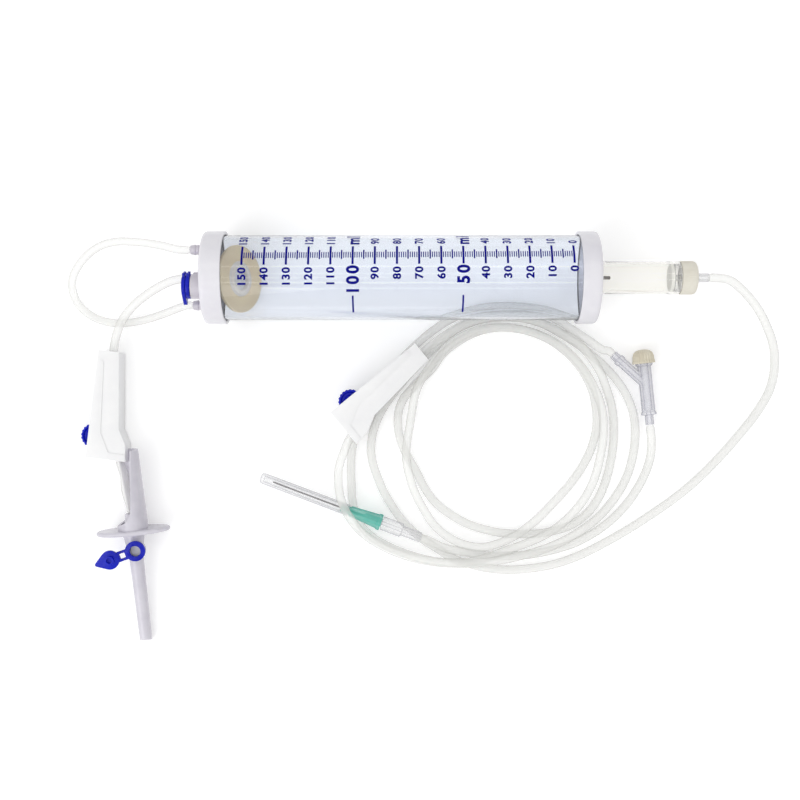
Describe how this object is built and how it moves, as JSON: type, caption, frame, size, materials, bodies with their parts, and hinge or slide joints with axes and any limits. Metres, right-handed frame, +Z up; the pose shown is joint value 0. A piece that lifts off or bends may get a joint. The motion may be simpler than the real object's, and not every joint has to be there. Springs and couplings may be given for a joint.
{
  "type": "iv infusion set",
  "caption": "Burette infusion set: spike with vent, two roller clamps, clear chamber with float, drip chamber, coiled tubing, injection site and covered needle.",
  "frame": {"origin": "middle of the rigid pieces' plan, on the surface that the set lies on", "axes": "+X along the burette towards the drip chamber, +Y from the coil towards the burette, +Z up"},
  "size_m": [0.3306, 0.1884, 0.0416],
  "materials": {
    "beige_plastic": "pale beige",
    "blue_plastic": "royal blue",
    "cap_plastic": "white, faintly lilac",
    "clear_hard": "clear, hard",
    "clear_soft": "clear, soft",
    "clear_tube": "clear, printed scale",
    "filter_paper": "white membrane",
    "float_rubber": "beige, satin",
    "green_plastic": "translucent green",
    "latex": "amber beige, matte",
    "steel": "bright steel",
    "tubing": "clear flexible tubing",
    "white_plastic": "white, satin"
  },
  "bodies": {
    "set": {"burette_bottom_cap": "cap_plastic", "burette_top_cap": "cap_plastic", "burette_tube": "clear_tube", "burette_vent_collar": "blue_plastic", "burette_vent_filter": "filter_paper", "drip_chamber": "clear_soft", "drip_dropper": "steel", "drip_end_cap": "beige_plastic", "flow_clamp_body": "white_plastic", "fluid_filter": "filter_paper", "hanger_loop": "tubing", "inlet_clamp_body": "white_plastic", "inlet_tube": "tubing", "luer_connector": "clear_hard", "middle_tube": "tubing", "needle_cannula": "steel", "needle_hub": "green_plastic", "outlet_tube": "tubing", "patient_tube": "tubing", "spike_body": "cap_plastic", "spike_vent_collar": "blue_plastic", "spike_vent_filter": "filter_paper", "y_site_body": "clear_hard", "y_site_cap": "latex"},
    "inlet_roller": {"inlet_clamp_roller": "blue_plastic"},
    "flow_roller": {"flow_clamp_roller": "blue_plastic"},
    "spike_vent_lid": {"spike_vent_cap": "blue_plastic"},
    "burette_vent_lid": {"burette_vent_cap": "blue_plastic"},
    "cover": {"needle_cover": "clear_hard"},
    "float": {"float_disc": "float_rubber"}
  },
  "joints": [
    {"name": "inlet_roller_slide", "type": "slide", "parent": "set", "child": "inlet_roller", "axis": [0.1219, 0.9925, 0], "range_m": [-0.002, 0.007]},
    {"name": "flow_roller_slide", "type": "slide", "parent": "set", "child": "flow_roller", "axis": [0.7749, 0.632, 0], "range_m": [-0.002, 0.007]},
    {"name": "spike_vent_hinge", "type": "hinge", "parent": "set", "child": "spike_vent_lid", "pos_m": [-0.12256, -0.05259, 0.01564], "axis": [-0.335, 0.9371, 0.0979], "range_deg": [0, 178]},
    {"name": "burette_vent_hinge", "type": "hinge", "parent": "set", "child": "burette_vent_lid", "pos_m": [-0.09041, 0.07489, 0.03136], "axis": [0, 0.2756, -0.9613], "range_deg": [0, 175]},
    {"name": "cover_slide", "type": "slide", "parent": "set", "child": "cover", "axis": [-0.9361, 0.3518, 0], "range_m": [0, 0.05]},
    {"name": "float_slide", "type": "slide", "parent": "set", "child": "float", "axis": [1, 0, 0], "range_m": [0, 0.126]}
  ]
}
